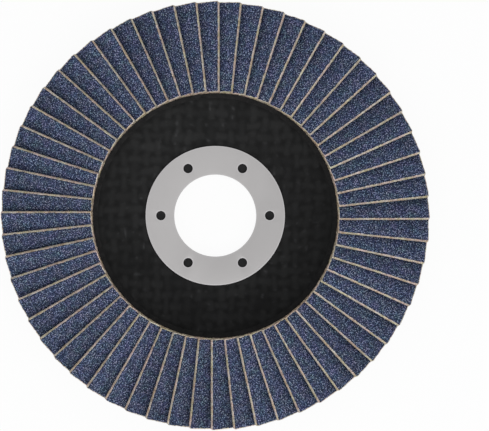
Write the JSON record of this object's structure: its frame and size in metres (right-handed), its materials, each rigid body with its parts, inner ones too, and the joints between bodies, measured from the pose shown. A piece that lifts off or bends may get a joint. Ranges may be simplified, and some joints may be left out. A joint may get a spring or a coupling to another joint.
{
  "type": "flap disc",
  "caption": "Conical abrasive flap disc: overlapping coated cloth flaps bonded in a ring on a dished black plate with a stamped metal bore ring.",
  "frame": {"origin": "centre of the bore in the plane of the hub's back seating face, the lowest face of the disc", "axes": "+Z along the bore axis towards the grinding side; +X to the right and +Y up in the front view"},
  "size_m": [0.115, 0.115, 0.0146],
  "materials": {
    "laminate": "black moulded glass-cloth laminate, the weave showing faintly under satin resin",
    "ring_steel": "pale satin grey sheet steel",
    "resin": "dark cured bonding resin, slightly glossy",
    "abrasive_cloth": "blue-grey coarse grit on tan cotton-polyester cloth, the tan showing at the cut edges"
  },
  "bodies": {
    "root": {"backing_plate": "laminate", "hub_ring": "ring_steel", "resin_bed": "resin", "flap_pair_01": "abrasive_cloth", "flap_pair_02": "abrasive_cloth", "flap_pair_03": "abrasive_cloth", "flap_pair_04": "abrasive_cloth", "flap_pair_05": "abrasive_cloth", "flap_pair_06": "abrasive_cloth", "flap_pair_07": "abrasive_cloth", "flap_pair_08": "abrasive_cloth", "flap_pair_09": "abrasive_cloth", "flap_pair_10": "abrasive_cloth", "flap_pair_11": "abrasive_cloth", "flap_pair_12": "abrasive_cloth", "flap_pair_13": "abrasive_cloth", "flap_pair_14": "abrasive_cloth", "flap_pair_15": "abrasive_cloth", "flap_pair_16": "abrasive_cloth", "flap_pair_17": "abrasive_cloth", "flap_pair_18": "abrasive_cloth", "flap_pair_19": "abrasive_cloth", "flap_pair_20": "abrasive_cloth", "flap_pair_21": "abrasive_cloth", "flap_pair_22": "abrasive_cloth", "flap_pair_23": "abrasive_cloth", "flap_pair_24": "abrasive_cloth", "flap_pair_25": "abrasive_cloth", "flap_pair_26": "abrasive_cloth", "flap_pair_27": "abrasive_cloth", "flap_pair_28": "abrasive_cloth", "flap_pair_29": "abrasive_cloth", "flap_pair_30": "abrasive_cloth"}
  },
  "joints": []
}
